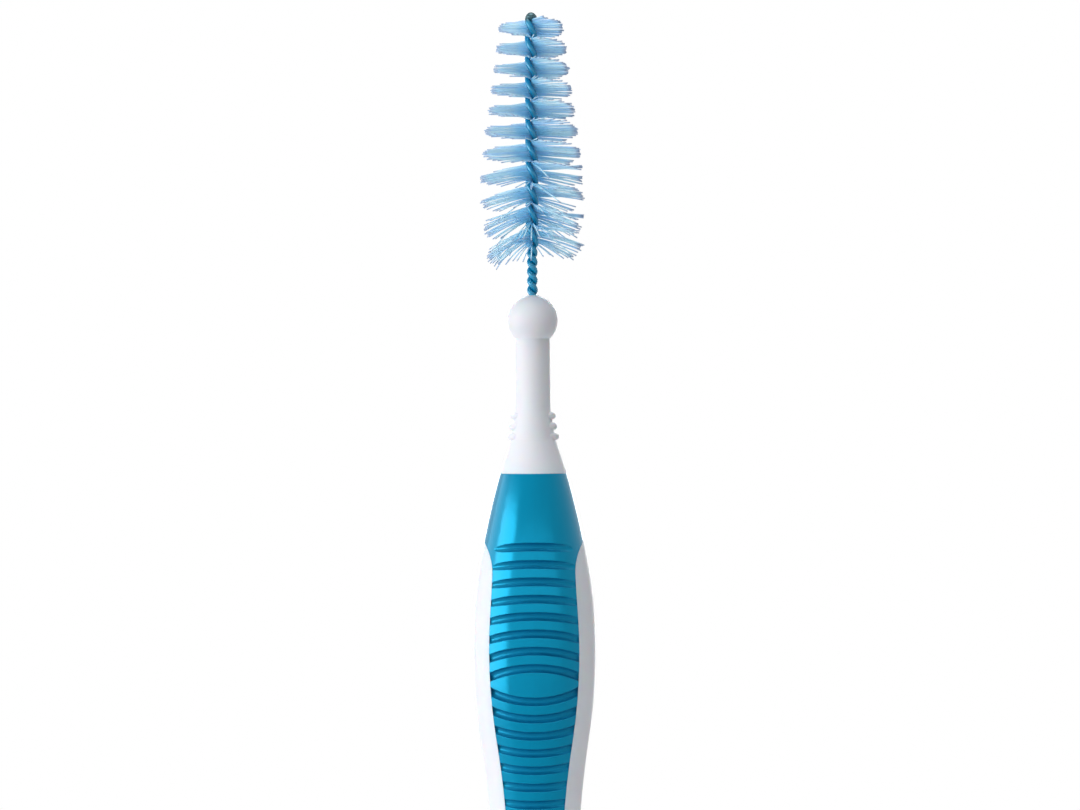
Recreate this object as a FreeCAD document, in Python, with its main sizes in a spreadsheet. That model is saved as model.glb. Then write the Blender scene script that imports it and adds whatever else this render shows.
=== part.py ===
import FreeCAD, Part
import math
import os

import Sketcher
from FreeCAD import Placement, Rotation, Vector

# Driving sizes of an interdental brush, in millimetres unless the name ends in angle, count or share
SIZES = {
    # Handle, from the middle of the thumb oval upwards: distance to the station below, width, flattening
    "belly_rise": 3.0,
    "belly_width": 9.8,
    "belly_flattening": 2.1,
    "shoulder_rise": 4.0,
    "shoulder_width": 9.42,
    "shoulder_flattening": 1.6,
    "rail_top_rise": 2.0,
    "rail_top_width": 8.84,
    "rail_top_flattening": 1.2,
    "collar_bottom_rise": 2.4,
    "collar_bottom_width": 7.95,
    "collar_bottom_flattening": 0.7,
    "collar_top_rise": 5.3,
    "collar_top_width": 5.38,
    # Handle, from the middle of the thumb oval downwards: distance to the station above, width, flattening
    "hip_drop": 2.0,
    "hip_width": 9.34,
    "hip_flattening": 2.0,
    "waist_drop": 4.0,
    "waist_width": 8.24,
    "waist_flattening": 1.5,
    "thigh_drop": 4.2,
    "thigh_width": 7.3,
    "thigh_flattening": 1.1,
    "tongue_end_drop": 5.8,
    "tongue_end_width": 6.3,
    "tongue_end_flattening": 0.8,
    "tail_drop": 8.0,
    "tail_width": 5.6,
    "tail_flattening": 0.6,
    "butt_drop": 14.0,
    "butt_width": 5.4,
    "butt_flattening": 0.5,
    "butt_rounding": 1.9,
    "oval_pull_share": 0.5523,
    "loft_degree_count": 2,
    # Stem above the collar
    "flare_length": 2.7,
    "flare_top_diameter": 3.56,
    "rib_zone_length": 2.4,
    "neck_bottom_diameter": 2.82,
    "neck_length": 7.16,
    "neck_top_diameter": 2.72,
    "ball_diameter": 4.06,
    # Round ribs on the two sides of the stem, each turned about an axis beside the stem's own
    "rib_count": 3,
    "rib_diameter": 0.6,
    "rib_pitch": 0.83,
    "rib_drop": 0.5,
    "rib_standoff": 0.03,
    "rib_axis_offset": 0.9,
    # Soft grip: the web of the core between its tongues, its collar, and the white rails beside the tongues
    "web_thickness": 3.6,
    "collar_wall": 0.9,
    "rail_tip_margin": 0.06,
    "rail_top_rail": 1.12,
    "rail_width": 1.32,
    "rail_root": 0.3,
    "tongue_rounding_share": 0.9,
    # Finger grooves above and below the thumb oval
    "groove_count": 8,
    "groove_pitch": 1.37,
    "oval_half_height": 1.33,
    "groove_radius": 0.34,
    "groove_depth": 0.36,
    "groove_near_fade_share": 1.03,
    "groove_far_fade_share": 1.36,
    "groove_near_angle": 34.0,
    "groove_far_angle": 10.0,
    "groove_sweep_angle": 110.0,
    # Twisted wire: diameter over its coating, lengths, twist, and the fold inside the neck
    "wire_diameter": 0.455,
    "wire_side_count": 8,
    "strand_gap": 0.03,
    "bare_length": 4.1,
    "bare_half_pitch": 0.745,
    "twist_embed": 0.5,
    "straighten_length": 1.0,
    "leg_length": 3.2,
    "eye_radius": 0.5,
    "eye_shoulder_radius": 0.5,
    "tip_length": 0.17,
    "tip_dome_diameter": 0.9,
    # Bristles: rows of filaments, one row for each half turn of the wire
    "row_count": 11,
    "row_pitch": 1.64,
    "filament_count": 11,
    "filament_thickness": 0.11,
    "clamp_clearance": 0.02,
    "brush_tip_diameter": 4.9,
    "brush_base_diameter": 8.3,
    "brush_taper_length": 12.2,
    "filament_straight": 0.55,
    "droop_base_angle": 30.0,
    "droop_power": 2.0,
    # How far a cutting shape runs past what it cuts
    "overrun": 0.5,
}

# Stations of the handle from top to bottom, with the side of the thumb oval that each lies on
STATIONS_ABOVE = ["belly", "shoulder", "rail_top", "collar_bottom", "collar_top"]
STATIONS_BELOW = ["hip", "waist", "thigh", "tongue_end", "tail", "butt"]
HANDLE_STATIONS = STATIONS_ABOVE[::-1] + STATIONS_BELOW

UP = Vector(0, 0, 1)
RIGHT = Vector(1, 0, 0)

doc = FreeCAD.newDocument("interdental_brush")
sheet = doc.addObject("Spreadsheet::Sheet", "sizes")
for row, (alias, value) in enumerate(SIZES.items(), start=1):
    sheet.set(f"A{row}", alias)
    sheet.set(f"B{row}", str(value))
    sheet.setAlias(f"B{row}", alias)
doc.recompute()


def size(expression):
    """The number that an expression in the sheet's aliases comes to."""
    return float(sheet.evalExpression(expression))


def bind(thing, **expressions):
    """Tie properties of a document object to expressions; a double underscore stands for a dot."""
    for name, expression in expressions.items():
        thing.setExpression(name.replace("__", "."), expression)


def add(kind, name, **expressions):
    """A new document object with its sizes tied to the sheet."""
    thing = doc.addObject(kind, name)
    thing.Label = name
    bind(thing, **expressions)
    return thing


# Heights of the stations and of the stem's parts, each stacked on the one before

HEIGHT = {}
for names, step, sign in ((STATIONS_ABOVE, "rise", "+"), (STATIONS_BELOW, "drop", "-")):
    total = "0"
    for station in names:
        total = f"{total} {sign} sizes.{station}_{step}"
        HEIGHT[station] = total
HEIGHT["flare_top"] = f"{HEIGHT['collar_top']} + sizes.flare_length"
HEIGHT["neck_bottom"] = f"{HEIGHT['flare_top']} + sizes.rib_zone_length"
HEIGHT["ball"] = f"{HEIGHT['neck_bottom']} + sizes.neck_length"


def half_width(station):
    """Half the handle's width at a station."""
    return f"sizes.{station}_width / 2"


def half_depth(station):
    """Half the handle's front-to-back depth at a station; the collar's top is round."""
    if station == "collar_top":
        return half_width(station)
    return f"(sizes.{station}_width - sizes.{station}_flattening) / 2"


# Outer form of the handle, a loft through flattened ovals


def oval(name, height, across, deep):
    """An ellipse across the handle's axis, drawn as four quarters."""
    wide = size(across)
    thick = size(deep)
    pull = size("sizes.oval_pull_share")
    corners = [Vector(wide, 0), Vector(0, thick), Vector(-wide, 0), Vector(0, -thick)]
    quarters = []
    for start, end in zip(corners, corners[1:] + corners[:1]):
        quarter = Part.BezierCurve()
        quarter.setPoles([start, start + end * pull, end + start * pull, end])
        quarters.append(quarter.toShape())
    section = add("Part::Feature", name)
    section.Shape = Part.Wire(quarters)
    bind(section, Placement__Base__z=height)
    return section


def loft(name, sections):
    """A smooth solid through the sections."""
    solid = add("Part::Loft", name)
    solid.Sections = sections
    solid.Solid = True
    solid.MaxDegree = int(size("sizes.loft_degree_count"))
    return solid


def rounded_ends(name, base, picks, radius):
    """Round the edges of a solid that a test picks out."""
    doc.recompute()
    edges = [i for i, edge in enumerate(base.Shape.Edges, start=1) if picks(edge)]
    rounding = add("Part::Fillet", name)
    rounding.Base = base
    rounding.Edges = [(i, radius, radius) for i in edges]
    return rounding


def handle_form():
    """The handle's outer form, from the collar's top to the rounded butt."""
    sections = [
        oval(f"form_{s}", HEIGHT[s], half_width(s), half_depth(s)) for s in HANDLE_STATIONS
    ]
    blank = loft("handle_blank", sections)
    floor = size(HEIGHT["butt"])

    def at_butt(edge):
        return edge.BoundBox.ZMax < floor + size("sizes.butt_rounding / 2")

    return rounded_ends("handle_form", blank, at_butt, size("sizes.butt_rounding"))


# Stem: ball stop, neck, ribbed cone and flare, turned about the axis


def origin_plane(body, role):
    """One of a body's own origin planes or axes."""
    return next(f for f in body.Origin.OriginFeatures if f.Role == role)


def sketch_on(body, name, role):
    """A sketch on one of the body's origin planes."""
    sketch = body.newObject("Sketcher::SketchObject", name)
    sketch.AttachmentSupport = [(origin_plane(body, role), "")]
    sketch.MapMode = "FlatFace"
    return sketch


def pin(sketch, geometry, point, across, up):
    """Hold a point of a sketch at two expressions, where None means on the axis."""
    for kind, axis, expression in (("DistanceX", -2, across), ("DistanceY", -1, up)):
        if expression is None:
            sketch.addConstraint(Sketcher.Constraint("PointOnObject", geometry, point, axis))
            continue
        index = sketch.addConstraint(
            Sketcher.Constraint(kind, -1, 1, geometry, point, size(expression))
        )
        sketch.setExpression(f"Constraints[{index}]", expression)


def stem_profile(body):
    """Half section of the stem: neck, ribbed cone and flare, closed along the axis."""
    corners = [
        (None, HEIGHT["collar_top"]),
        (half_width("collar_top"), HEIGHT["collar_top"]),
        ("sizes.flare_top_diameter / 2", HEIGHT["flare_top"]),
        ("sizes.neck_bottom_diameter / 2", HEIGHT["neck_bottom"]),
        ("sizes.neck_top_diameter / 2", HEIGHT["ball"]),
        (None, HEIGHT["ball"]),
    ]
    points = [Vector(size(across) if across else 0, size(up)) for across, up in corners]
    sketch = sketch_on(body, "stem_profile", "XZ_Plane")
    for start, end in zip(points, points[1:] + points[:1]):
        sketch.addGeometry(Part.LineSegment(start, end))
    for k, corner in enumerate(corners):
        pin(sketch, k, 1, *corner)
        sketch.addConstraint(Sketcher.Constraint("Coincident", k, 1, (k - 1) % len(corners), 2))
    return sketch


def rib_profile(body):
    """Circles of the ribs on one side of the cone below the neck, and the line that they turn about."""
    sketch = sketch_on(body, "rib_profile", "XZ_Plane")
    line_ends = [HEIGHT["flare_top"], HEIGHT["neck_bottom"]]
    low, high = [Vector(size("sizes.rib_axis_offset"), size(up)) for up in line_ends]
    line = sketch.addGeometry(Part.LineSegment(low, high), True)
    for point, up in enumerate(line_ends, start=1):
        pin(sketch, line, point, "sizes.rib_axis_offset", up)
    for k in range(int(size("sizes.rib_count"))):
        below = f"(sizes.rib_drop + {k} * sizes.rib_pitch)"
        widening = "(sizes.flare_top_diameter - sizes.neck_bottom_diameter) / 2"
        across = (
            f"sizes.neck_bottom_diameter / 2 + {widening} * {below} / sizes.rib_zone_length"
            " + sizes.rib_standoff"
        )
        up = f"{HEIGHT['neck_bottom']} - {below}"
        centre = Vector(size(across), size(up))
        radius = size("sizes.rib_diameter / 2")
        circle = sketch.addGeometry(Part.Circle(centre, UP, radius))
        pin(sketch, circle, 3, across, up)
        index = sketch.addConstraint(Sketcher.Constraint("Radius", circle, radius))
        sketch.setExpression(f"Constraints[{index}]", "sizes.rib_diameter / 2")
    return sketch


def stem():
    """Ball stop, neck, ribs and flare as one body."""
    body = add("PartDesign::Body", "stem")
    section = stem_profile(body)
    turned = body.newObject("PartDesign::Revolution", "stem_turned")
    turned.Profile = section
    turned.ReferenceAxis = (origin_plane(body, "Z_Axis"), [""])
    ball = body.newObject("PartDesign::AdditiveSphere", "ball")
    ball.AttachmentSupport = [(origin_plane(body, "XY_Plane"), "")]
    ball.MapMode = "FlatFace"
    bind(ball, Radius="sizes.ball_diameter / 2", AttachmentOffset__Base__z=HEIGHT["ball"])
    rib_section = rib_profile(body)
    ribs = body.newObject("PartDesign::Revolution", "ribs")
    ribs.Profile = rib_section
    ribs.ReferenceAxis = (rib_section, ["Axis0"])
    both_sides = body.newObject("PartDesign::Mirrored", "ribs_both_sides")
    both_sides.Originals = [ribs]
    both_sides.MirrorPlane = (origin_plane(body, "YZ_Plane"), [""])
    body.Tip = both_sides
    return body


# Soft grip: collar and two tongues, let into the core


PAST_FRONT_AND_BACK = "sizes.belly_width + 2 * sizes.overrun"


def band(name, height, across, deep):
    """A flat rectangle across the handle, of a half width and a full depth."""
    return add(
        "Part::Plane",
        name,
        Length=f"2 * ({across})",
        Width=deep,
        Placement__Base__x=f"-({across})",
        Placement__Base__y=f"-({deep}) / 2",
        Placement__Base__z=height,
    )


def tongue_half_width(station):
    """Half the tongue's width: past the sides at the collar, and a rail's width inside them below."""
    if station == "collar_bottom":
        return f"{half_width(station)} + sizes.rail_tip_margin"
    rail = "sizes.rail_top_rail" if station == "rail_top" else "sizes.rail_width"
    return f"{half_width(station)} - {rail}"


def web_half_width(station):
    """Half the width of the core's web: inside the collar's wall, and up to the roots of the rails below."""
    if station == "collar_bottom":
        return f"{half_width(station)} - sizes.collar_wall"
    return f"{half_width(station)} - (sizes.rail_width - sizes.rail_root)"


def grip_seat(outline):
    """What the core keeps under the soft grip: a cone in the collar, a flat web between the tongues."""
    collar_seat = add(
        "Part::Cone",
        "collar_seat",
        Radius1=f"{half_depth('collar_bottom')} - sizes.collar_wall",
        Radius2=f"{half_depth('collar_top')} - sizes.collar_wall",
        Height="sizes.collar_top_rise + sizes.overrun",
        Placement__Base__z=HEIGHT["collar_bottom"],
    )
    sections = [band(f"web_{s}", HEIGHT[s], web_half_width(s), "sizes.web_thickness") for s in outline]
    web = loft("core_web", sections)
    web.Ruled = True
    seat = add("Part::Fuse", "grip_seat")
    seat.Base = collar_seat
    seat.Tool = web
    return seat


def grip_space():
    """All the room that the soft grip takes, open outwards."""
    outline = HANDLE_STATIONS[1:-2]
    sections = [
        band(f"tongue_{s}", HEIGHT[s], tongue_half_width(s), PAST_FRONT_AND_BACK) for s in outline
    ]
    tongue = loft("tongue_blank", sections)
    lowest = size(HEIGHT["tongue_end"])

    def at_end(edge):
        box = edge.BoundBox
        return box.ZMax < lowest + size("sizes.overrun") and box.YLength > box.XLength

    end_radius = size(f"({tongue_half_width('tongue_end')}) * sizes.tongue_rounding_share")
    tongue_rounded = rounded_ends("tongue_rounded", tongue, at_end, end_radius)
    reach = "(sizes.belly_width / 2 + sizes.overrun)"
    collar = add(
        "Part::Box",
        "collar_block",
        Length=f"2 * {reach}",
        Width=f"2 * {reach}",
        Height="sizes.collar_top_rise + sizes.overrun",
        Placement__Base__x=f"-{reach}",
        Placement__Base__y=f"-{reach}",
        Placement__Base__z=HEIGHT["collar_bottom"],
    )
    outer = add("Part::Fuse", "grip_outline")
    outer.Base = collar
    outer.Tool = tongue_rounded

    space = add("Part::Cut", "grip_space")
    space.Base = outer
    space.Tool = grip_seat(outline)
    return space


def surface_at(form, height):
    """Half width and half depth of the handle's form at a height, measured on the solid."""
    reach = size("sizes.belly_width")
    found = []
    for direction in (RIGHT, Vector(0, 1, 0)):
        start = UP * height
        line = Part.makeLine(start, start + direction * reach)
        found.append(line.common(form.Shape).Length)
    return found


def between(near, far, far_share):
    """A size that changes evenly from the groove beside the thumb oval to the farthest one."""
    return size(f"sizes.{near} + (sizes.{far} - sizes.{near}) * {far_share}")


def groove_cutters(form, side):
    """Rings that cut the finger grooves above or below the thumb oval, tilted to arch away from it."""
    count = int(size("sizes.groove_count"))
    depth = size("sizes.groove_depth")
    ring = size("sizes.groove_radius")
    place = "above" if side > 0 else "below"
    cutters = []
    for k in range(count):
        height = side * size(f"sizes.oval_half_height + {k} * sizes.groove_pitch")
        far_share = k / max(count - 1, 1)
        tilt = between("groove_near_angle", "groove_far_angle", far_share)
        fade = between("groove_near_fade_share", "groove_far_fade_share", far_share)
        across, deep = surface_at(form, height)
        lean = math.radians(tilt)
        bend = fade * across**2 / deep * math.cos(lean)
        for face in (-1, 1):
            cutter = add(
                "Part::Torus",
                f"groove_{place}_{'front' if face < 0 else 'back'}_{k + 1}",
                Radius2="sizes.groove_radius",
                Angle3="sizes.groove_sweep_angle",
            )
            cutter.Radius1 = bend
            front = face * (deep + ring - depth)
            centre = Vector(
                0,
                front - face * bend * math.cos(lean),
                height - side * bend * math.sin(lean),
            )
            facing = Rotation(UP, face * 90 - size("sizes.groove_sweep_angle / 2"))
            cutter.Placement = Placement(centre, Rotation(RIGHT, side * face * tilt) * facing)
            cutters.append(cutter)
    rings = add("Part::Compound", f"grooves_{place}")
    rings.Links = cutters
    return rings


# Wire: two legs of one hairpin, twisted round each other


def arc_between(start, corner, end):
    """The arc that leaves start towards corner and comes to end from it."""
    middle = (start + end) / 2
    turn = (corner - start).getAngle(end - start)
    sag = start.distanceToPoint(end) / 2 * math.tan(turn / 2)
    outward = (corner - middle).normalize()
    return Part.Arc(start, middle + outward * sag, end).toShape()


def biarc(start, start_way, end, end_way):
    """Two tangent arcs from one point and direction to another."""
    span = end - start
    ways = start_way + end_way
    bend = 2 * (1 - start_way.dot(end_way))
    along = span.dot(ways)
    reach = (math.sqrt(along**2 + bend * span.dot(span)) - along) / bend
    first = start + start_way * reach
    last = end - end_way * reach
    middle = (first + last) / 2
    return [arc_between(start, first, middle), arc_between(middle, last, end)]


def twist_nodes():
    """Places down the twist: height, angle, turn rate per millimetre and distance from the axis."""
    wire = size("sizes.wire_diameter / 2")
    held = wire + size("sizes.filament_thickness / 2 + sizes.clamp_clearance")
    bare = wire + size("sizes.strand_gap / 2")
    loose = math.pi / size("sizes.row_pitch")
    tight = math.pi / size("sizes.bare_half_pitch")
    rows = int(size("sizes.row_count"))
    base = brush_base()
    # The front leg crosses the axis at the middle of each row
    top_angle = -math.pi / 2 - math.pi * (rows - 0.5)
    top = base + rows * size("sizes.row_pitch")
    tip = size("sizes.tip_length")
    nodes = [(top + tip, top_angle - loose * tip, loose, held)]
    for k in range(2 * rows + 1):
        rate = loose if k < 2 * rows else (loose + tight) / 2
        height = top - k * size("sizes.row_pitch / 2")
        nodes.append((height, top_angle + k * math.pi / 2, rate, held))
    half_turns = math.ceil(size("(sizes.bare_length + sizes.twist_embed) / sizes.bare_half_pitch"))
    start_angle = nodes[-1][1]
    for k in range(1, 2 * half_turns + 1):
        height = base - k * size("sizes.bare_half_pitch / 2")
        nodes.append((height, start_angle + k * math.pi / 2, tight, bare))
    return nodes


def brush_base():
    """Height of the lowest filament row's lower end."""
    return size(f"{HEIGHT['ball']} + sizes.ball_diameter / 2 + sizes.bare_length")


def on_twist(node, phase):
    """Point and downward direction of a leg at a place in the twist."""
    height, angle, rate, offset = node
    turned = angle + phase
    point = Vector(offset * math.cos(turned), offset * math.sin(turned), height)
    way = Vector(-offset * rate * math.sin(turned), offset * rate * math.cos(turned), -1)
    return point, way.normalize()


def leg_path(phase, nodes):
    """Edges of one leg from its cut end at the tip down to the bottom of the fold."""
    edges = []
    for upper, lower in zip(nodes, nodes[1:]):
        edges += biarc(*on_twist(upper, phase), *on_twist(lower, phase))
    last_height, last_angle, rate, offset = nodes[-1]
    settle = last_angle + phase + rate * size("sizes.straighten_length / 2")
    outward = Vector(math.cos(settle), math.sin(settle), 0)
    straight_top = outward * offset + UP * (last_height - size("sizes.straighten_length"))
    edges += biarc(*on_twist(nodes[-1], phase), straight_top, -UP)
    straight_end = straight_top - UP * size("sizes.leg_length")
    edges.append(Part.makeLine(straight_top, straight_end))
    shoulder = size("sizes.eye_shoulder_radius")
    eye = size("sizes.eye_radius")
    swing = math.acos((offset + shoulder) / (eye + shoulder))

    def on_shoulder(angle):
        return straight_end + outward * shoulder * (1 - math.cos(angle)) - UP * shoulder * math.sin(angle)

    edges.append(Part.Arc(straight_end, on_shoulder(swing / 2), on_shoulder(swing)).toShape())
    centre = UP * (on_shoulder(swing).z - eye * math.sin(swing))

    def on_eye(angle):
        return centre + outward * eye * math.cos(angle) + UP * eye * math.sin(angle)

    edges.append(Part.Arc(on_eye(swing), on_eye(swing / 2 - math.pi / 4), on_eye(-math.pi / 2)).toShape())
    return edges


def wire_section(centre, way):
    """The wire's section square to a direction, a polygon in place of a circle to keep its faces few."""
    radius = size("sizes.wire_diameter / 2")
    sides = int(size("sizes.wire_side_count"))
    facing = Rotation(UP, way)
    corners = []
    for k in range(sides + 1):
        angle = 2 * math.pi * k / sides
        corners.append(centre + facing.multVec(Vector(math.cos(angle), math.sin(angle), 0) * radius))
    return Part.makePolygon(corners)


def twisted_wire():
    """The hairpin, swept down one leg, round the fold and up the other, and the dome over its cut ends."""
    nodes = twist_nodes()
    down = leg_path(0, nodes)
    up = leg_path(math.pi, nodes)
    path = Part.Wire(down + up[::-1])
    section = wire_section(*on_twist(nodes[0], 0))
    hairpin = add("Part::Feature", "hairpin")
    hairpin.Shape = path.makePipeShell([section], True, False)
    expected = path.Length * Part.Face(section).Area
    print(f"hairpin: volume {hairpin.Shape.Volume:.4f}, section times length {expected:.4f}")
    dome = add("Part::Sphere", "tip_dome", Radius="sizes.tip_dome_diameter / 2")
    dome.Angle1 = 0
    dome_base = brush_base() + size("sizes.row_count * sizes.row_pitch + sizes.clamp_clearance")
    dome.Placement.Base = UP * dome_base
    wire = add("Part::Fuse", "twisted_wire")
    wire.Base = hairpin
    wire.Tool = dome
    return wire


# Bristles: filaments held between the legs, square to the line from leg to leg


def brush_radius(above_base):
    """Length of a filament from the axis: a cone at the tip, straight below it."""
    total = size("sizes.row_count * sizes.row_pitch")
    taper = size("sizes.brush_taper_length")
    up_share = max(0, (above_base - (total - taper)) / taper)
    base = size("sizes.brush_base_diameter / 2")
    return base + (size("sizes.brush_tip_diameter / 2") - base) * up_share


def filament(above_base):
    """One filament: straight through the clamp, then drooping more the lower it sits."""
    thick = size("sizes.filament_thickness")
    total = size("sizes.row_count * sizes.row_pitch")
    down_share = 1 - above_base / total
    droop = math.radians(size("sizes.droop_base_angle")) * down_share ** size("sizes.droop_power")
    inner = size("sizes.filament_straight")
    outer = brush_radius(above_base) - inner
    tip = Vector(inner + outer * math.cos(droop), 0, -outer * math.sin(droop))
    across = Vector(thick * math.sin(droop), 0, thick * math.cos(droop)) / 2
    knee = Vector(inner, 0, 0)
    half_bend = Vector(math.tan(droop / 2), 0, 1) * thick / 2
    right = [knee - half_bend, tip - across, tip + across, knee + half_bend]
    left = [Vector(-p.x, 0, p.z) for p in right[::-1]]
    outline = Part.makePolygon(right + left + right[:1])
    solid = Part.Face(outline).extrude(Vector(0, thick, 0))
    solid.translate(Vector(0, -thick / 2, 0))
    # Square to the wire's legs, which lie front and back at the middle of a row
    turn = -180 * (above_base / size("sizes.row_pitch") - 0.5)
    solid.Placement = Placement(UP * (brush_base() + above_base), Rotation(UP, turn)) * solid.Placement
    return solid


def bristle_row(index):
    """The filaments of one half turn, counted from the tip."""
    rows = int(size("sizes.row_count"))
    count = int(size("sizes.filament_count"))
    pitch = size("sizes.row_pitch")
    lowest = (rows - index) * pitch
    row = add("Part::Feature", f"bristle_row_{index:02d}")
    row.Shape = Part.makeCompound([filament(lowest + pitch * (k + 0.5) / count) for k in range(count)])
    return row


# Assembly of the pieces


def cut(name, base, tool):
    """What is left of one solid after another is taken from it."""
    left = add("Part::Cut", name)
    left.Base = base
    left.Tool = tool
    return left


form = handle_form()
space = grip_space()
upper = stem()
wire = twisted_wire()
doc.recompute()

grip_blank = add("Part::Common", "grip_blank")
grip_blank.Base = form
grip_blank.Tool = space
# Above the oval first and below it after that, so that rings whose ends cross don't meet in one cut
grooved_above = cut("grip_grooved_above", grip_blank, groove_cutters(form, 1))
rubber_grip = cut("rubber_grip", grooved_above, groove_cutters(form, -1))

core_blank = add("Part::Fuse", "core_blank")
core_blank.Base = upper
core_blank.Tool = cut("handle_inner", form, space)
handle_core = cut("handle_core", core_blank, wire)

rows = [bristle_row(i + 1) for i in range(int(size("sizes.row_count")))]
doc.recompute()

for thing in doc.Objects:
    if "Invalid" in thing.State or "Error" in thing.State:
        raise RuntimeError(f"{thing.Label} failed: {thing.State}")

pieces = [handle_core, rubber_grip, wire] + rows
for piece in pieces:
    if piece.Shape.isNull() or not piece.Shape.isValid():
        raise RuntimeError(f"{piece.Label} has no valid shape")

os.makedirs("parts", exist_ok=True)
for piece in pieces:
    piece.Shape.exportStep(f"parts/{piece.Label}.step")
    print(f"{piece.Label}: {len(piece.Shape.Solids)} solids, {piece.Shape.Volume:.3f} mm3")
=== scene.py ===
"""Looks of an interdental brush: finishes, round twisted wire, filament rows, studio and camera."""
import logging
import math
import random
from dataclasses import dataclass
from enum import Enum
from functools import cached_property

import bpy
from mathutils import Matrix, Vector


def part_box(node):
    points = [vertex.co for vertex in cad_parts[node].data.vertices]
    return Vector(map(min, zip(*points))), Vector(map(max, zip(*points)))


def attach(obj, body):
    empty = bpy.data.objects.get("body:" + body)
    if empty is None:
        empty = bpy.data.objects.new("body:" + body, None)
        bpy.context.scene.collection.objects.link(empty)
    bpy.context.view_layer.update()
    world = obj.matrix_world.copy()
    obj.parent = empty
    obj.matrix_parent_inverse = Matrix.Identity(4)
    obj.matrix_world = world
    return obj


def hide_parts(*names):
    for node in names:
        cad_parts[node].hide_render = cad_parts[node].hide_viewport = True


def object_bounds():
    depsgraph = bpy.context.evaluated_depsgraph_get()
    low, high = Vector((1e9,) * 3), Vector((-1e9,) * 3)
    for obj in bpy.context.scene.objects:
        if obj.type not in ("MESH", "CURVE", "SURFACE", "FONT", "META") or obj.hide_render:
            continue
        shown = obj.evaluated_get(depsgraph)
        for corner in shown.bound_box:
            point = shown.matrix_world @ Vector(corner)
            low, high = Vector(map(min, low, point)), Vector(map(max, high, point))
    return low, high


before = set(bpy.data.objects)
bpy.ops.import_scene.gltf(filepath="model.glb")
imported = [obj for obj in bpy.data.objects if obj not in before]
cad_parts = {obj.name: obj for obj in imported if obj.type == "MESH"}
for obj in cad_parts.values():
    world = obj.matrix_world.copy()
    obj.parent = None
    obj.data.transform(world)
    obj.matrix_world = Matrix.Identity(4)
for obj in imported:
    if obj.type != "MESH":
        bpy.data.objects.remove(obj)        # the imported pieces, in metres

MM = 0.001
BODY = "root"
SHADE = "shade"
ALONG = "along"
CAD_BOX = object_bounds()

log = logging.getLogger("interdental_brush")

Colour = tuple[float, float, float, float]


class Slot(Enum):
    """Material slots of the record that the pieces take their finishes from."""

    WHITE_PLASTIC = "white_plastic"
    GRIP_RUBBER = "grip_rubber"
    COATED_WIRE = "coated_wire"
    BRISTLE_NYLON = "bristle_nylon"


def tone(red: int, green: int, blue: int) -> Colour:
    """A display colour from 0 to 255 as the linear colour that shaders take.

    Args:
        red: Red as displayed.
        green: Green as displayed.
        blue: Blue as displayed.

    Returns:
        The linear colour, opaque.
    """

    def linear(value: int) -> float:
        """One channel without its display curve."""
        share = value / 255
        return share / 12.92 if share <= 0.04045 else ((share + 0.055) / 1.055) ** 2.4

    return linear(red), linear(green), linear(blue), 1.0


def seen_white(tree: bpy.types.NodeTree) -> bpy.types.NodeSocket:
    """What tells a look at the background, straight, mirrored or through clear matter, from its light.

    Args:
        tree: Where its nodes go.

    Returns:
        1 for the looks that should find it white, and 0 for the rest.
    """
    path = tree.nodes.new("ShaderNodeLightPath")
    seen = path.outputs["Is Camera Ray"]
    for ray in ("Is Glossy Ray", "Is Transmission Ray"):
        either = tree.nodes.new("ShaderNodeMath")
        either.operation = "MAXIMUM"
        tree.links.new(seen, either.inputs[0])
        tree.links.new(path.outputs[ray], either.inputs[1])
        seen = either.outputs["Value"]
    return seen


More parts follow.
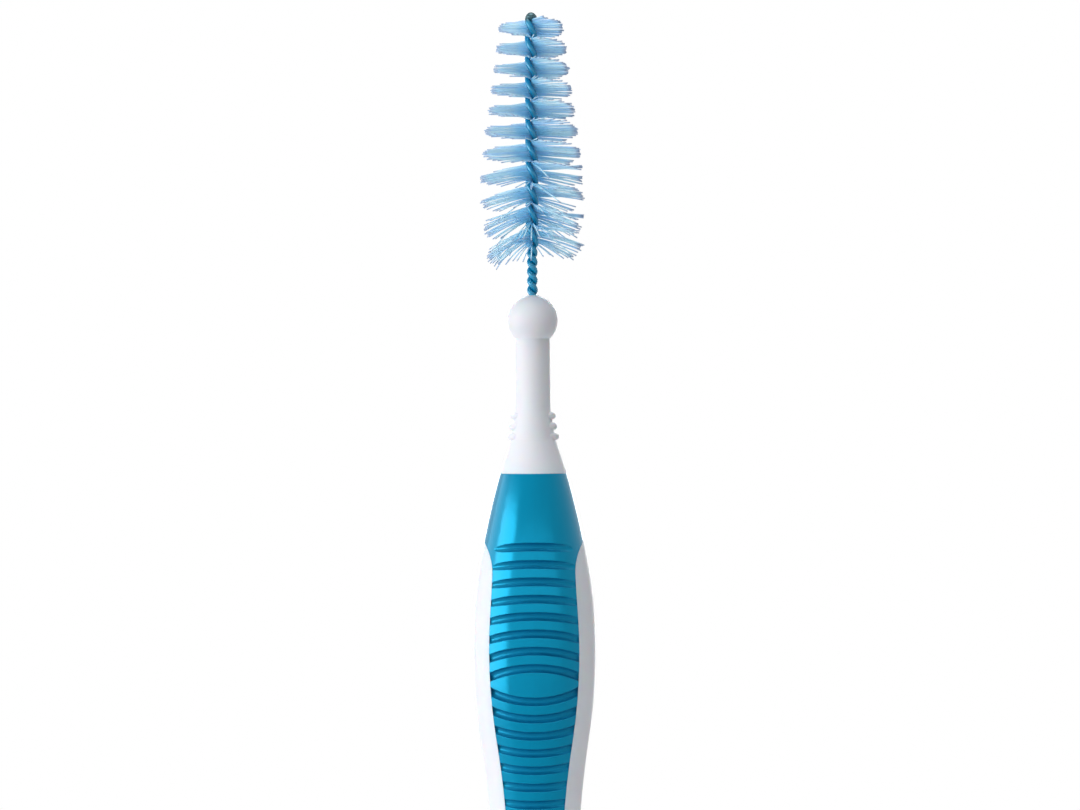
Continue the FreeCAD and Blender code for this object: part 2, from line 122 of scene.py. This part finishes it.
class Surface:
    """A procedural material under construction: one principled shader and the nodes that feed it."""

    def __init__(self, name: str) -> None:
        """Start a material with its shader and the object's own coordinates.

        Args:
            name: Name of the material.
        """
        self.material = bpy.data.materials.new(name)
        self.material.use_nodes = True
        self.tree = self.material.node_tree
        self.shader = self.tree.nodes["Principled BSDF"]
        self.place = self.add("ShaderNodeTexCoord").outputs["Object"]

    def add(self, kind: str, **settings: object) -> bpy.types.Node:
        """A new node with its own properties set.

        Args:
            kind: Type name of the node.
            **settings: Properties of the node.

        Returns:
            The node.
        """
        node = self.tree.nodes.new(kind)
        for name, value in settings.items():
            setattr(node, name, value)
        return node

    def link(self, source: bpy.types.NodeSocket, target: bpy.types.NodeSocket) -> None:
        """Feed one socket from another."""
        self.tree.links.new(source, target)

    def constants(self, **values: object) -> None:
        """Set sockets of the shader that are the same all over, with underscores for spaces.

        Args:
            **values: Socket names in lower case, and their values.
        """
        sockets = {s.name.lower().replace(" ", "_"): s for s in self.shader.inputs}
        for name, value in values.items():
            sockets[name].default_value = value

    def noise(self, grain: float, detail: float = 2.0) -> bpy.types.NodeSocket:
        """Even noise of a grain size.

        Args:
            grain: Distance from one blotch to the next, in metres.
            detail: How many finer layers it has.

        Returns:
            The noise, from 0 to 1.
        """
        node = self.add("ShaderNodeTexNoise")
        node.inputs["Scale"].default_value = 1 / grain
        node.inputs["Detail"].default_value = detail
        self.link(self.place, node.inputs["Vector"])
        return node.outputs["Fac"]

    def spread(
        self, value: bpy.types.NodeSocket, low: float, high: float, start: float = 0.3, end: float = 0.7
    ) -> bpy.types.NodeSocket:
        """Map a value between two limits.

        Args:
            value: What is mapped.
            low: Result at the start.
            high: Result at the end.
            start: Value that gives the low result.
            end: Value that gives the high result.

        Returns:
            The mapped value.
        """
        node = self.add("ShaderNodeMapRange", interpolation_type="SMOOTHSTEP")
        self.link(value, node.inputs["Value"])
        limits = {"From Min": start, "From Max": end, "To Min": low, "To Max": high}
        for name, limit in limits.items():
            node.inputs[name].default_value = limit
        return node.outputs["Result"]

    def blend(
        self, share: bpy.types.NodeSocket, first: Colour | bpy.types.NodeSocket, second: Colour
    ) -> bpy.types.NodeSocket:
        """Mix two colours.

        Args:
            share: How much of the second shows.
            first: Colour, or socket that gives it.
            second: Colour.

        Returns:
            The mixed colour.
        """
        node = self.add("ShaderNodeMix", data_type="RGBA")
        self.link(share, node.inputs["Factor"])
        first_socket, second_socket = node.inputs[6], node.inputs[7]
        if isinstance(first, tuple):
            first_socket.default_value = first
        else:
            self.link(first, first_socket)
        second_socket.default_value = second
        return node.outputs[2]

    def axis_distance(self) -> bpy.types.NodeSocket:
        """How far each point lies from the brush's axis.

        Returns:
            The distance, in metres.
        """
        flat = self.add("ShaderNodeVectorMath", operation="MULTIPLY")
        flat.inputs[1].default_value = (1, 1, 0)
        self.link(self.place, flat.inputs[0])
        length = self.add("ShaderNodeVectorMath", operation="LENGTH")
        self.link(flat.outputs["Vector"], length.inputs[0])
        return length.outputs["Value"]

    def height(self) -> bpy.types.NodeSocket:
        """Where each point lies along the brush's axis.

        Returns:
            The height, in metres.
        """
        split = self.add("ShaderNodeSeparateXYZ")
        self.link(self.place, split.inputs["Vector"])
        return split.outputs["Z"]

    def occlusion_mask(self, reach: float, shallow: float, deep: float) -> bpy.types.NodeSocket:
        """How shut in by nearby walls each point lies, read from ambient occlusion; the grip paints shade
        and sets roughness with it.

        Args:
            reach: How far away a wall still shades the point, in metres.
            shallow: Share of open space at which the mask begins to rise.
            deep: Share of open space at its deepest.

        Returns:
            0 in the open, and 1 where nearby walls close in most.
        """
        node = self.add("ShaderNodeAmbientOcclusion", samples=8, only_local=True)
        node.inputs["Distance"].default_value = reach
        return self.spread(node.outputs["AO"], 1, 0, deep, shallow)

    def mix_in(self, other: bpy.types.NodeSocket, share: float | bpy.types.NodeSocket) -> None:
        """Mix a second shader into what the material shows.

        Args:
            other: The second shader.
            share: How much of it shows, or the socket that says so.
        """
        node = self.add("ShaderNodeMixShader")
        if isinstance(share, float):
            node.inputs["Fac"].default_value = share
        else:
            self.link(share, node.inputs["Fac"])
        self.link(self.shader.outputs["BSDF"], node.inputs[1])
        self.link(other, node.inputs[2])
        self.link(node.outputs["Shader"], self.tree.nodes["Material Output"].inputs["Surface"])

    def colour(self, source: bpy.types.NodeSocket) -> None:
        """Feed the base colour."""
        self.link(source, self.shader.inputs["Base Color"])

    def roughness(self, source: bpy.types.NodeSocket) -> None:
        """Feed the roughness."""
        self.link(source, self.shader.inputs["Roughness"])

    def softened(self, radius: float) -> bpy.types.NodeSocket:
        """Normals that round sharp edges off.

        Args:
            radius: Radius of the rounding, in metres.

        Returns:
            The normals.
        """
        node = self.add("ShaderNodeBevel", samples=6)
        node.inputs["Radius"].default_value = radius
        return node.outputs["Normal"]

    def bump(
        self,
        relief: bpy.types.NodeSocket,
        depth: float,
        strength: float,
        under: bpy.types.NodeSocket | None = None,
    ) -> None:
        """Feed the normal with a relief.

        Args:
            relief: Height of the relief, from 0 to 1.
            depth: What a relief of 1 stands for, in metres.
            strength: How much of the relief shows.
            under: Normals that the relief lies on, if not the mesh's own.
        """
        node = self.add("ShaderNodeBump")
        node.inputs["Strength"].default_value = strength
        node.inputs["Distance"].default_value = depth
        self.link(relief, node.inputs["Height"])
        if under:
            self.link(under, node.inputs["Normal"])
        self.link(node.outputs["Normal"], self.shader.inputs["Normal"])


@dataclass(frozen=True)
class WhitePlastic:
    """Satin white polypropylene, a little translucent, with the fine grain of its mould."""

    body: Colour = tone(224, 227, 233)
    cloud: Colour = tone(221, 224, 231)
    cloud_grain: float = 6 * MM
    mould_grain: float = 0.12 * MM
    mould_depth: float = 0.01 * MM
    glow_depth: float = 1.0 * MM

    def make(self) -> bpy.types.Material:
        """Mix the finish.

        Returns:
            The material.
        """
        surface = Surface("white_plastic_satin")
        surface.constants(subsurface_weight=0.35, subsurface_scale=self.glow_depth, specular_ior_level=0.2)
        surface.colour(surface.blend(surface.noise(self.cloud_grain), self.body, self.cloud))
        surface.roughness(surface.spread(surface.noise(self.cloud_grain), 0.38, 0.44))
        surface.bump(surface.noise(self.mould_grain), self.mould_depth, 0.06)
        return surface.material


@dataclass(frozen=True)
class GripRubber:
    """Soft blue elastomer with a very fine grain, glossy where it is smooth, duller in its grooves, and
    with shade painted dark into them.
    """

    body: Colour = tone(0, 116, 152)
    cloud: Colour = tone(0, 112, 147)
    # painted shade: the darker blue laid into the grooves
    painted_groove_shade: Colour = tone(0, 88, 132)
    shine: Colour = tone(48, 208, 255)
    cloud_grain: float = 4 * MM
    skin_grain: float = 0.09 * MM
    skin_depth: float = 0.008 * MM
    lip_radius: float = 0.07 * MM
    groove_reach: float = 1.0 * MM
    open_roughness: float = 0.19
    groove_roughness: float = 0.46

    def make(self) -> bpy.types.Material:
        """Mix the finish, with painted shade darkening the grooves from ambient occlusion, and rougher
        there.

        Returns:
            The material.
        """
        surface = Surface("grip_rubber_satin")
        surface.constants(ior=1.7, specular_ior_level=0.95, specular_tint=self.shine)
        # painted shade: ambient occlusion darkens the colour in the grooves, and the same mask makes them
        # rougher
        occlusion_mask = surface.occlusion_mask(self.groove_reach, 0.94, 0.66)
        open_colour = surface.blend(surface.noise(self.cloud_grain), self.body, self.cloud)
        surface.colour(surface.blend(occlusion_mask, open_colour, self.painted_groove_shade))
        surface.roughness(surface.spread(occlusion_mask, self.open_roughness, self.groove_roughness, 0, 1))
        lips = surface.softened(self.lip_radius)
        surface.bump(surface.noise(self.skin_grain), self.skin_depth, 0.06, lips)
        return surface.material


@dataclass(frozen=True)
class CoatedWire:
    """Steel wire in a thin blue coating, darker and greyer on the dome at the tip."""

    coat: Colour = tone(0, 144, 192)
    worn: Colour = tone(0, 120, 162)
    shine: Colour = tone(190, 240, 255)
    steel: Colour = tone(38, 66, 71)
    worn_grain: float = 0.5 * MM
    skin_grain: float = 0.06 * MM
    skin_depth: float = 0.006 * MM
    bare_tip: float = 0.95 * MM
    fade: float = 0.45 * MM

    def make(self, tip: float) -> bpy.types.Material:
        """The material.

        Args:
            tip: Height of the wire's cut end.

        Returns:
            The material.
        """
        surface = Surface("blue_coated_wire")
        bare_from = tip - self.bare_tip
        bare = surface.spread(surface.height(), 0, 1, bare_from, bare_from + self.fade)
        coat = surface.blend(surface.noise(self.worn_grain), self.coat, self.worn)
        surface.constants(ior=1.7, specular_ior_level=0.6, specular_tint=self.shine)
        surface.colour(surface.blend(bare, coat, self.steel))
        surface.roughness(surface.spread(surface.noise(self.worn_grain), 0.14, 0.2))
        surface.bump(surface.noise(self.skin_grain), self.skin_depth, 0.15)
        return surface.material


@dataclass(frozen=True)
class BristleNylon:
    """Clear pale-blue nylon, deeper blue by the wire and greyer at the cut ends."""

    inner: Colour = tone(154, 228, 255)
    middle: Colour = tone(216, 245, 255)
    end: Colour = tone(182, 204, 230)
    dull: Colour = tone(180, 222, 254)
    inner_share: float = 0.15
    middle_share: float = 0.55
    end_share: float = 0.84
    streak_grain: float = 0.3 * MM
    clear_share: float = 0.3

    def make(self) -> bpy.types.Material:
        """Mix the finish from how far along its filament each point lies, and each filament's own shade.

        Returns:
            The material.
        """
        surface = Surface("clear_blue_nylon")
        surface.constants(ior=1.53)
        along = surface.add("ShaderNodeAttribute", attribute_name=ALONG).outputs["Fac"]
        shade = surface.add("ShaderNodeAttribute", attribute_name=SHADE).outputs["Fac"]
        near = surface.blend(
            surface.spread(along, 0, 1, self.inner_share, self.middle_share), self.inner, self.middle
        )
        varied = surface.blend(surface.spread(shade, 0, 0.8, 0.4, 1), near, self.dull)
        mixed = surface.blend(surface.spread(along, 0, 1, self.end_share, 1), varied, self.end)
        surface.colour(mixed)
        surface.roughness(surface.spread(surface.noise(self.streak_grain), 0.25, 0.4))
        through = surface.add("ShaderNodeBsdfTranslucent")
        surface.link(mixed, through.inputs["Color"])
        surface.mix_in(through.outputs["BSDF"], self.clear_share)
        return surface.material


@dataclass(frozen=True)
class PaleFloor:
    """Plain pale floor that turns to the white of the background at its rim."""

    body: Colour = tone(243, 243, 244)
    cloud: Colour = tone(240, 240, 242)
    cloud_grain: float = 40 * MM

    def make(self, reach: float) -> bpy.types.Material:
        """The material.

        Args:
            reach: Radius of the floor.

        Returns:
            The material.
        """
        surface = Surface("pale_floor")
        surface.colour(surface.blend(surface.noise(self.cloud_grain), self.body, self.cloud))
        surface.constants(roughness=0.7)
        white = surface.add("ShaderNodeEmission")
        surface.link(seen_white(surface.tree), white.inputs["Strength"])
        rim = surface.spread(surface.axis_distance(), 0, 1, reach / 3, reach)
        surface.mix_in(white.outputs["Emission"], rim)
        return surface.material


@dataclass
class TubeMesh:
    """Round tubes gathered into one mesh, which keeps how far from its tube's middle each point lies."""

    sides: int

    def __post_init__(self) -> None:
        """Start with nothing."""
        self.points: list[Vector] = []
        self.shades: list[float] = []
        self.shares: list[float] = []
        self.faces: list[list[int]] = []

    def add(self, line: list[Vector], radii: list[float], shade: float = 0.0) -> None:
        """One tube along a line, closed at both ends.

        Args:
            line: Points of its centre line.
            radii: Radius at each point.
            shade: A value from 0 to 1 that its finish may use.
        """
        middle = (len(line) - 1) / 2
        tangents = [(line[1] - line[0]).normalized()]
        for before, after in zip(line, line[2:]):
            tangents.append((after - before).normalized())
        tangents.append((line[-1] - line[-2]).normalized())
        across = tangents[0].orthogonal().normalized()
        first = len(self.points)
        for k, (centre, way, radius) in enumerate(zip(line, tangents, radii)):
            if k:
                across = (tangents[k - 1].rotation_difference(way) @ across).normalized()
            beside = way.cross(across)
            for side in range(self.sides):
                turn = 2 * math.pi * side / self.sides
                self.points.append(centre + (across * math.cos(turn) + beside * math.sin(turn)) * radius)
                self.shares.append(abs(k - middle) / middle)
        rings = len(line)
        self.shades += [shade] * (rings * self.sides)
        for ring in range(rings - 1):
            start = first + ring * self.sides
            for side in range(self.sides):
                after = (side + 1) % self.sides
                self.faces.append(
                    [start + side, start + after, start + self.sides + after, start + self.sides + side]
                )
        last = first + (rings - 1) * self.sides
        self.faces.append([first + side for side in reversed(range(self.sides))])
        self.faces.append([last + side for side in range(self.sides)])

    def object(self, name: str) -> bpy.types.Object:
        """The gathered tubes as one smooth object in the scene.

        Args:
            name: Name of the object.

        Returns:
            The object.
        """
        mesh = bpy.data.meshes.new(name)
        mesh.from_pydata(self.points, [], self.faces)
        for face in mesh.polygons:
            face.use_smooth = len(face.vertices) == 4
        mesh.attributes.new(SHADE, "FLOAT", "POINT").data.foreach_set("value", self.shades)
        mesh.attributes.new(ALONG, "FLOAT", "POINT").data.foreach_set("value", self.shares)
        mesh.update()
        made = bpy.data.objects.new(name, mesh)
        bpy.context.scene.collection.objects.link(made)
        return made


def seat(piece: bpy.types.Object, node: str, finish: bpy.types.Material) -> None:
    """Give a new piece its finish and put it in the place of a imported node.

    Args:
        piece: The new piece.
        node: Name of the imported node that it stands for.
        finish: The material.
    """
    piece.data.materials.append(finish)
    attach(piece, BODY)
    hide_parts(node)


@dataclass(frozen=True)
class Twist:
    """How the two legs of the wire turn round each other, and where the brush begins on them."""

    wire_diameter: float = 0.455 * MM
    filament_diameter: float = 0.11 * MM
    clamp_clearance: float = 0.02 * MM
    strand_press: float = 0.015 * MM
    row_count: int = 11
    row_pitch: float = 1.64 * MM
    bare_length: float = 4.1 * MM
    bare_half_pitch: float = 0.745 * MM
    settle_length: float = 0.4 * MM

    @cached_property
    def base(self) -> float:
        """Height of the brush's lower end, a bare length above the ball stop."""
        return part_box("handle_core")[1].z + self.bare_length

    @property
    def brush_length(self) -> float:
        """Length of wire that holds filaments."""
        return self.row_count * self.row_pitch

    def angle(self, height: float) -> float:
        """Angle of the first leg about the axis.

        Args:
            height: Height along the axis.

        Returns:
            The angle, in radians.
        """
        above = height - self.base
        pitch = self.row_pitch if above > 0 else self.bare_half_pitch
        return -math.pi * above / pitch

    def offset(self, height: float) -> float:
        """Distance of each leg's middle from the axis, which is wider where filaments lie between.

        Args:
            height: Height along the axis.

        Returns:
            The distance, in metres.
        """
        radius = self.wire_diameter / 2
        held = radius + self.filament_diameter / 2 + self.clamp_clearance
        bare = radius - self.strand_press / 2
        share = (height - self.base + self.settle_length) / self.settle_length
        share = min(1.0, max(0.0, share))
        return bare + (held - bare) * share * share * (3 - 2 * share)


@dataclass
class TwistedWire:
    """One wire folded in half: two twisted legs under a small dome, and a fold held inside the neck."""

    twist: Twist
    sides: int = 18
    step: float = 0.07 * MM
    half_turns_below: int = 7
    straighten_length: float = 1.0 * MM
    leg_length: float = 3.2 * MM
    eye_radius: float = 0.5 * MM
    shoulder_radius: float = 0.5 * MM
    bend_steps: int = 12
    dome_diameter: float = 0.9 * MM
    dome_steps: int = 8
    plug_diameter: float = 0.3 * MM
    plug_length: float = 0.35 * MM
    leg_end_drop: float = 0.28 * MM
    leg_end_offset: float = 0.2 * MM
    close_length: float = 0.7 * MM

    @cached_property
    def tip(self) -> float:
        """Height of the tip."""
        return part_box("twisted_wire")[1].z

    def leg(self, phase: float) -> list[Vector]:
        """Centre line of one leg, from the tip down to the bottom of the fold.

        Args:
            phase: Angle of the leg from the first one.

        Returns:
            Points in order.
        """
        twist = self.twist
        top = self.tip - self.leg_end_drop
        end = twist.base - self.half_turns_below * twist.bare_half_pitch
        count = math.ceil((top - end) / self.step)
        line = []
        for k in range(count + 1):
            height = top + (end - top) * k / count
            closed = max(0.0, 1 - (top - height) / self.close_length) ** 2
            offset = twist.offset(height) * (1 - closed) + self.leg_end_offset * closed
            line.append(self.around(twist.angle(height) + phase, offset, height))
        offset = twist.offset(end)
        rate = math.pi / twist.bare_half_pitch
        turned = twist.angle(end) + phase
        for k in range(1, self.bend_steps + 1):
            down = self.straighten_length * k / self.bend_steps
            slowed = rate * (down - down * down / self.straighten_length / 2)
            line.append(self.around(turned + slowed, offset, end - down))
        turned += rate * self.straighten_length / 2
        leg_end = end - self.straighten_length - self.leg_length
        line.append(self.around(turned, offset, leg_end))
        return line + self.fold(turned, offset, leg_end)

    def around(self, angle: float, offset: float, height: float) -> Vector:
        """A point at an angle and distance from the axis."""
        return Vector((offset * math.cos(angle), offset * math.sin(angle), height))

    def fold(self, angle: float, offset: float, height: float) -> list[Vector]:
        """Half of the fold: a shoulder that leads outwards, and half of the round eye.

        Args:
            angle: Angle of the leg about the axis.
            offset: Distance of the leg from the axis.
            height: Height where the leg ends.

        Returns:
            Points in order, to just before the bottom of the eye.
        """
        shoulder, eye = self.shoulder_radius, self.eye_radius
        swing = math.acos((offset + shoulder) / (eye + shoulder))
        line = []
        for k in range(1, self.bend_steps + 1):
            bend = swing * k / self.bend_steps
            out = offset + shoulder * (1 - math.cos(bend))
            line.append(self.around(angle, out, height - shoulder * math.sin(bend)))
        centre = line[-1].z - eye * math.sin(swing)
        for k in range(1, 2 * self.bend_steps):
            bend = swing - (swing + math.pi / 2) * k / (2 * self.bend_steps)
            line.append(self.around(angle, eye * math.cos(bend), centre + eye * math.sin(bend)))
        return line

    def dome(self) -> tuple[list[Vector], list[float]]:
        """The round cap over the cut ends of the two legs, with a plug that fills the gap between them.

        Returns:
            Points up its middle, and the radius at each of them.
        """
        radius = self.dome_diameter / 2
        bends = [math.pi / 2 * k / (self.dome_steps + 0.2) for k in range(self.dome_steps + 1)]
        line = [Vector((0, 0, self.tip - radius - self.plug_length))]
        line += [Vector((0, 0, self.tip - radius + radius * math.sin(bend))) for bend in bends]
        return line, [self.plug_diameter / 2] + [radius * math.cos(bend) for bend in bends]

    def build(self) -> bpy.types.Object:
        """Make one tube down the first leg and up the second, and the dome.

        Returns:
            The whole wire as one object.
        """
        path = self.leg(0) + self.leg(math.pi)[::-1]
        mesh = TubeMesh(self.sides)
        mesh.add(path, [self.twist.wire_diameter / 2] * len(path))
        mesh.add(*self.dome())
        return mesh.object("wire_twist")

    def dress(self, piece: bpy.types.Object, finish: CoatedWire) -> None:
        """Seat the wire with its finish."""
        seat(piece, "twisted_wire", finish.make(self.tip))


@dataclass
class Bristles:
    """Rows of nylon filaments, one row for each half turn of the wire, splayed more towards the handle."""

    twist: Twist
    seed: int = 11
    sides: int = 6
    steps: int = 8
    filament_count: int = 36
    filament_diameter: float = 0.1 * MM
    tip_diameter: float = 4.9 * MM
    base_diameter: float = 8.2 * MM
    taper_length: float = 12.2 * MM
    layer_depth: float = 0.06 * MM
    length_spread_share: float = 0.035
    loose_share: float = 0.5
    loose_power: float = 1.2
    left_droop: float = math.radians(42)
    right_droop: float = math.radians(20)
    left_scatter: float = math.radians(4)
    right_scatter: float = math.radians(13)
    even_scatter: float = math.radians(1.6)
    bunch: float = 0.42
    clump_size: int = 5
    stray_share: float = 0.1
    stray_droop: float = math.radians(24)
    dome_clearance: float = 0.14 * MM
    deepest: float = 3.84 * MM

    def __post_init__(self) -> None:
        """Start the random draws."""
        self.draw = random.Random(self.seed)

    def reach(self, above: float) -> float:
        """Length of a filament from the axis.

        Args:
            above: Height above the brush's base.

        Returns:
            The length, in metres.
        """
        share = max(0.0, (above - (self.twist.brush_length - self.taper_length)) / self.taper_length)
        return (self.base_diameter + (self.tip_diameter - self.base_diameter) * share) / 2

    def half(self, start: Vector, azimuth: float, reach: float, droop: float, swing: float) -> list[Vector]:
        """One filament from the wire outwards.

        Args:
            start: Where it leaves the axis.
            azimuth: Direction in which it leaves.
            reach: Its length.
            droop: How far it has bent down at its end.
            swing: How far it has turned sideways at its end.

        Returns:
            Points from the axis to the end.
        """
        line = [start]
        for k in range(self.steps):
            share = (k + 0.5) / self.steps
            down = droop * share**0.4
            turned = azimuth + swing * share**0.4
            flat = math.cos(down)
            way = Vector((flat * math.cos(turned), flat * math.sin(turned), -math.sin(down)))
            line.append(line[-1] + way * reach / self.steps)
        return line

    def row(self, number: int) -> bpy.types.Object:
        """The filaments of one half turn, counted from the tip.

        Args:
            number: Number of the row, from 1 at the tip.

        Returns:
            The row as one object.
        """
        twist = self.twist
        mesh = TubeMesh(self.sides)
        lowest = (twist.row_count - number) * twist.row_pitch
        for k in range(self.filament_count):
            if k % self.clump_size == 0:
                clump = [self.draw.gauss(0, 1), self.draw.gauss(0, 1)]
            above = lowest + twist.row_pitch * (k + self.draw.random()) / self.filament_count
            above = min(above, twist.brush_length - self.dome_clearance)
            azimuth = twist.angle(twist.base + above) + math.pi / 2
            depth = self.draw.uniform(-1, 1) * self.layer_depth
            start = Vector((depth * -math.sin(azimuth), depth * math.cos(azimuth), twist.base + above))
            first = self.half(start, azimuth, *self.lie(above, azimuth, clump[0]))
            second = self.half(start, azimuth + math.pi, *self.lie(above, azimuth + math.pi, clump[1]))
            line = first[:0:-1] + second
            mesh.add(line, [self.filament_diameter / 2] * len(line), self.draw.random())
        return mesh.object(f"bristles_{number:02d}")

    def lie(self, above: float, azimuth: float, clump: float) -> tuple[float, float, float]:
        """How one half of a filament lies.

        Args:
            above: Height above the brush's base.
            azimuth: Direction in which it leaves the wire.
            clump: How far its neighbours stray with it, as a normal draw.

        Returns:
            Its length, its droop and its sideways swing.
        """
        down_share = 1 - above / self.twist.brush_length
        loose = max(0.0, (down_share - self.loose_share) / (1 - self.loose_share)) ** self.loose_power
        right = (1 + math.cos(azimuth)) / 2
        droop = self.left_droop + (self.right_droop - self.left_droop) * right
        scatter = self.left_scatter + (self.right_scatter - self.left_scatter) * right
        droop = loose * (droop + scatter * clump) + self.draw.gauss(0, self.even_scatter)
        if self.draw.random() < self.stray_share * loose:
            droop += self.stray_droop * self.draw.random()
        swing = self.draw.gauss(0, self.even_scatter) - self.bunch * math.sin(2 * azimuth)
        reach = self.reach(above) * (1 + self.draw.gauss(0, self.length_spread_share) / 2)
        sideways = abs(math.sin(azimuth + swing))
        if reach * sideways > self.deepest:
            reach = self.deepest / sideways
        return reach, droop, swing

    def build(self) -> list[bpy.types.Object]:
        """All rows, from the tip down."""
        return [self.row(number) for number in range(1, self.twist.row_count + 1)]

    def dress(self, rows: list[bpy.types.Object], finish: BristleNylon) -> None:
        """Seat the rows with their finish.

        Args:
            rows: The rows, from the tip down.
            finish: Their finish.
        """
        material = finish.make()
        for number, piece in enumerate(rows, start=1):
            seat(piece, f"bristle_row_{number:02d}", material)


@dataclass
class Handle:
    """The two mouldings of the handle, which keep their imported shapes."""

    core: str = "handle_core"
    grip: str = "rubber_grip"

    def dress(self, core_finish: WhitePlastic, grip_finish: GripRubber) -> list[bpy.types.Object]:
        """Give the mouldings their finishes.

        Args:
            core_finish: Finish of the rigid core.
            grip_finish: Finish of the soft grip.

        Returns:
            The two mouldings.
        """
        pieces = []
        for name, finish in ((self.core, core_finish), (self.grip, grip_finish)):
            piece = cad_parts[name]
            piece.material_slots[0].material = finish.make()
            pieces.append(piece)
        return pieces


@dataclass(frozen=True)
class Softbox:
    """A rectangular lamp that faces the brush, placed by angles from the camera's side."""

    name: str
    azimuth: float
    elevation: float
    distance: float
    width: float
    height: float
    radiance: float

    def place(self, target: Vector) -> bpy.types.Object:
        """Put the lamp in the scene.

        Args:
            target: Point that it faces.

        Returns:
            The lamp.
        """
        lamp = bpy.data.lights.new(self.name, "AREA")
        lamp.shape = "RECTANGLE"
        lamp.size = self.width
        lamp.size_y = self.height
        lamp.energy = self.radiance * math.pi * self.width * self.height
        turn = math.radians(self.azimuth)
        lift = math.radians(self.elevation)
        away = Vector((math.sin(turn) * math.cos(lift), -math.cos(turn) * math.cos(lift), math.sin(lift)))
        made = bpy.data.objects.new(self.name, lamp)
        made.location = target + away * self.distance
        made.rotation_euler = away.to_track_quat("Z", "Y").to_euler()
        bpy.context.scene.collection.objects.link(made)
        return made


@dataclass(frozen=True)
class PhotoView:
    """The photograph's frame in pixels, where the brush lies in it, and the lens that fits."""

    width_px: int = 1080
    height_px: int = 810
    oval_row_px: float = 682.0
    axis_column_px: float = 533.0
    lean: float = math.radians(0.3)
    pixel: float = 0.08 * MM
    distance: float = 324 * MM
    sensor_mm: float = 36.0

    def place(self) -> bpy.types.Object:
        """Put the camera in the scene and make it the scene's own.

        Returns:
            The camera.
        """
        lens = bpy.data.cameras.new("photo_camera")
        lens.sensor_width = self.sensor_mm
        lens.lens = self.sensor_mm * self.distance / (self.width_px * self.pixel)
        made = bpy.data.objects.new("photo_camera", lens)
        across = (self.width_px / 2 - self.axis_column_px) * self.pixel
        up = (self.oval_row_px - self.height_px / 2) * self.pixel
        level = Matrix.Rotation(math.pi / 2, 4, "X") @ Matrix.Rotation(-self.lean, 4, "Z")
        made.matrix_world = Matrix.Translation((across, -self.distance, up)) @ level
        bpy.context.scene.collection.objects.link(made)
        bpy.context.scene.camera = made
        return made


@dataclass
class Studio:
    """Pale floor, white surroundings and soft lamps."""

    floor_reach: float = 220 * MM
    floor_sides: int = 96
    ambient_above: float = 0.24
    ambient_below: float = 0.04
    lamps: tuple[Softbox, ...] = (
        Softbox("key_left", -64, 4, 350 * MM, 270 * MM, 190 * MM, 5.2),
        Softbox("key_rim", -105, 4, 350 * MM, 250 * MM, 190 * MM, 1.2),
        Softbox("fill_front", 0.5, 4, 700 * MM, 1330 * MM, 240 * MM, 0.95),
        Softbox("fill_top", 0, 74, 500 * MM, 420 * MM, 280 * MM, 3.8),
        Softbox("fill_back", 180, 12, 600 * MM, 500 * MM, 400 * MM, 4.4),
    )

    def floor(self, height: float) -> bpy.types.Object:
        """A round floor under the brush.

        Args:
            height: Height of the floor.

        Returns:
            The floor.
        """
        rim = []
        for k in range(self.floor_sides):
            turn = 2 * math.pi * k / self.floor_sides
            rim.append((self.floor_reach * math.cos(turn), self.floor_reach * math.sin(turn), height))
        mesh = bpy.data.meshes.new("pale_floor")
        mesh.from_pydata(rim, [], [list(range(self.floor_sides))])
        mesh.materials.append(PaleFloor().make(self.floor_reach))
        made = bpy.data.objects.new("pale_floor", mesh)
        bpy.context.scene.collection.objects.link(made)
        return made

    def surroundings(self) -> None:
        """White where it is looked at, and dimmer where it lights the brush, most from above."""
        world = bpy.data.worlds.new("studio")
        world.use_nodes = True
        nodes, links = world.node_tree.nodes, world.node_tree.links
        dim = nodes["Background"]
        dim.inputs["Color"].default_value = (1, 1, 1, 1)
        place = nodes.new("ShaderNodeTexCoord")
        split = nodes.new("ShaderNodeSeparateXYZ")
        links.new(place.outputs["Generated"], split.inputs["Vector"])
        sky = nodes.new("ShaderNodeMapRange")
        sky.inputs["From Min"].default_value = -1
        sky.inputs["To Min"].default_value = self.ambient_below
        sky.inputs["To Max"].default_value = self.ambient_above
        links.new(split.outputs["Z"], sky.inputs["Value"])
        links.new(sky.outputs["Result"], dim.inputs["Strength"])
        white = nodes.new("ShaderNodeBackground")
        white.inputs["Color"].default_value = (1, 1, 1, 1)
        mixed = nodes.new("ShaderNodeMixShader")
        links.new(seen_white(world.node_tree), mixed.inputs["Fac"])
        links.new(dim.outputs["Background"], mixed.inputs[1])
        links.new(white.outputs["Background"], mixed.inputs[2])
        links.new(mixed.outputs["Shader"], nodes["World Output"].inputs["Surface"])
        bpy.context.scene.world = world

    def build(self) -> None:
        """Set up everything round the brush."""
        bpy.context.scene.view_settings.view_transform = "Standard"
        low, high = CAD_BOX
        self.floor(low.z)
        self.surroundings()
        for lamp in self.lamps:
            lamp.place((low + high) / 2)


def main() -> None:
    """Build the brush's looks in order and report each piece."""
    logging.basicConfig(level=logging.INFO, format="%(name)s: %(message)s")
    twist = Twist()
    for piece in Handle().dress(WhitePlastic(), GripRubber()):
        log.info("dressed %s", piece.name)
    wire = TwistedWire(twist)
    wire_piece = wire.build()
    wire.dress(wire_piece, CoatedWire())
    log.info("built %s", wire_piece.name)
    bristles = Bristles(twist)
    rows = bristles.build()
    bristles.dress(rows, BristleNylon())
    for row in rows:
        log.info("built %s", row.name)
    Studio().build()
    PhotoView().place()


if __name__ == "__main__":
    main()
